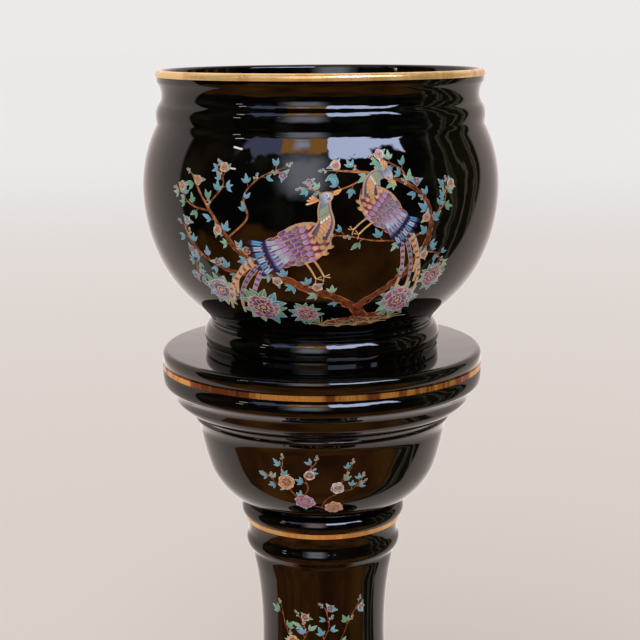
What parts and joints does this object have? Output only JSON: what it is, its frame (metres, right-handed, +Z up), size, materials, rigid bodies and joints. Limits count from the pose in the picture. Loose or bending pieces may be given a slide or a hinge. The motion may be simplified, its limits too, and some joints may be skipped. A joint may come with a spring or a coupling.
{
  "type": "jardiniere on stand",
  "caption": "Round-bellied glazed earthenware flower pot that stands loose on a tall turned stand with a round table, a bowl-shaped capital, a waisted column and a domed foot.",
  "frame": {"origin": "on the floor, on the upright axis of the pot and the stand", "axes": "+Z up the axis of the pot and the stand; the decorated side faces -Y; +X to the right of someone who looks at it"},
  "size_m": [0.33, 0.33, 0.8],
  "materials": {
    "black_glaze": "glossy black lead glaze on earthenware, with coloured enamel flowers and birds on the front",
    "fired_gold": "thin fired gold, brushed on by hand"
  },
  "bodies": {
    "stand": {"pedestal_stand": "black_glaze", "table_gilt_line": "fired_gold", "neck_gilt_line": "fired_gold", "ankle_gilt_line": "fired_gold", "plinth_gilt_line": "fired_gold"},
    "pot": {"jardiniere_pot": "black_glaze", "rim_gilding": "fired_gold"}
  },
  "joints": [
    {"name": "pot_lift", "type": "slide", "parent": "stand", "child": "pot", "axis": [0, 0, 1], "range_m": [0, 0.3]}
  ]
}
